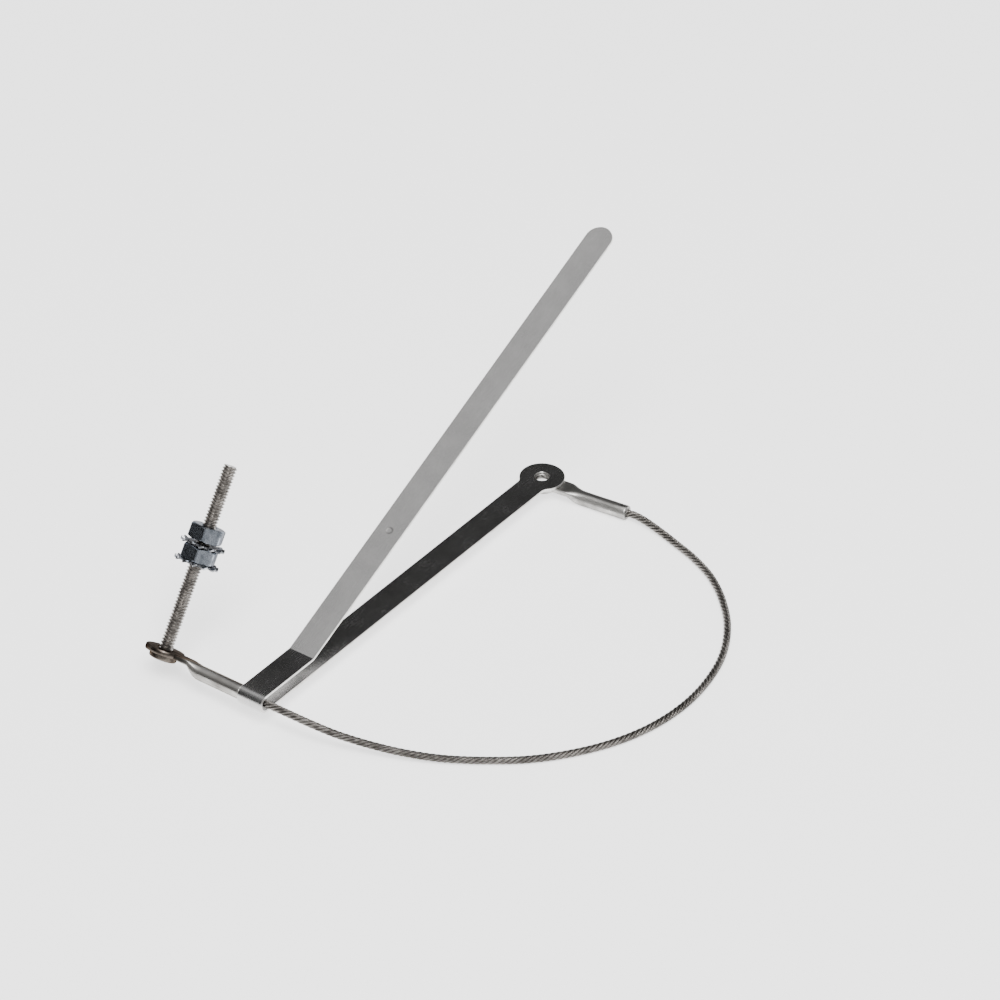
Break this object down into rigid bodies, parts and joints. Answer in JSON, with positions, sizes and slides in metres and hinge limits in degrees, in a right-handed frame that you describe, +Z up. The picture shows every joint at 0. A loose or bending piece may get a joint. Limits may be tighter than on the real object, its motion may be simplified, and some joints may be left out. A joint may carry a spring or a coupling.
{
  "type": "strap cutter lever with wire rope",
  "caption": "Flat hairpin-bent steel strap lever with a wire rope running through its bend, ring terminals on the rope's ends, and a long screw with nuts and star washers.",
  "frame": {"origin": "centre of the hole in the strap's round lug, halfway through the strap's thickness", "axes": "+X along the lower leg from the hairpin bend to the lug, +Z up out of the lug's upper face along the hole; the rope's free loop lies on the -Y side"},
  "size_m": [0.1452, 0.1138, 0.0648],
  "materials": {
    "strap": "satin rolled stainless strip with bright sheared edges",
    "rope": "bare twisted steel wire",
    "terminal": "bright swaged steel",
    "screw": "dull rolled thread",
    "nut": "bluish zinc plate",
    "washer": "zinc plate"
  },
  "bodies": {
    "strap": {"strap_base": "strap"},
    "lever": {"strap_lever": "strap"},
    "cable": {"wire_rope": "rope", "lug_terminal": "terminal", "screw_terminal": "terminal"},
    "screw": {"screw": "screw"},
    "lower_washer": {"lower_washer": "washer"},
    "lower_nut": {"lower_nut": "nut"},
    "upper_washer": {"upper_washer": "washer"},
    "upper_nut": {"upper_nut": "nut"}
  },
  "joints": [
    {"name": "lever_flex", "type": "hinge", "parent": "strap", "child": "lever", "pos_m": [-0.097, 0, 0.0041], "axis": [0, 1, 0], "range_deg": [-10, 20], "stiffness_Nm_per_rad": 0.7},
    {"name": "cable_swivel", "type": "hinge", "parent": "strap", "child": "cable", "pos_m": [0, 0, -0.0011], "axis": [0, 0, 1], "range_deg": [-3, 0]},
    {"name": "screw_turn", "type": "hinge", "parent": "cable", "child": "screw", "pos_m": [-0.11432, 0.02795, 0.00304], "axis": [0.5664, 0, 0.8241], "continuous": true},
    {"name": "lower_washer_slide", "type": "slide", "parent": "screw", "child": "lower_washer", "axis": [0.5664, 0, 0.8241], "range_m": [-0.0205, 0]},
    {"name": "lower_nut_turn", "type": "hinge", "parent": "lower_washer", "child": "lower_nut", "pos_m": [-0.10135, 0.02795, 0.02191], "axis": [0.5664, 0, 0.8241], "range_deg": [-9360, 0]},
    {"name": "upper_washer_slide", "type": "slide", "parent": "screw", "child": "upper_washer", "axis": [0.5664, 0, 0.8241], "range_m": [0, 0.0142]},
    {"name": "upper_nut_turn", "type": "hinge", "parent": "upper_washer", "child": "upper_nut", "pos_m": [-0.09835, 0.02795, 0.02628], "axis": [0.5664, 0, 0.8241], "range_deg": [0, 6480]}
  ],
  "couplings": [
    {"joint": "lower_nut_turn", "follows": "lower_washer_slide", "rad_per_m": 7915.8},
    {"joint": "upper_nut_turn", "follows": "upper_washer_slide", "rad_per_m": 7915.8}
  ]
}
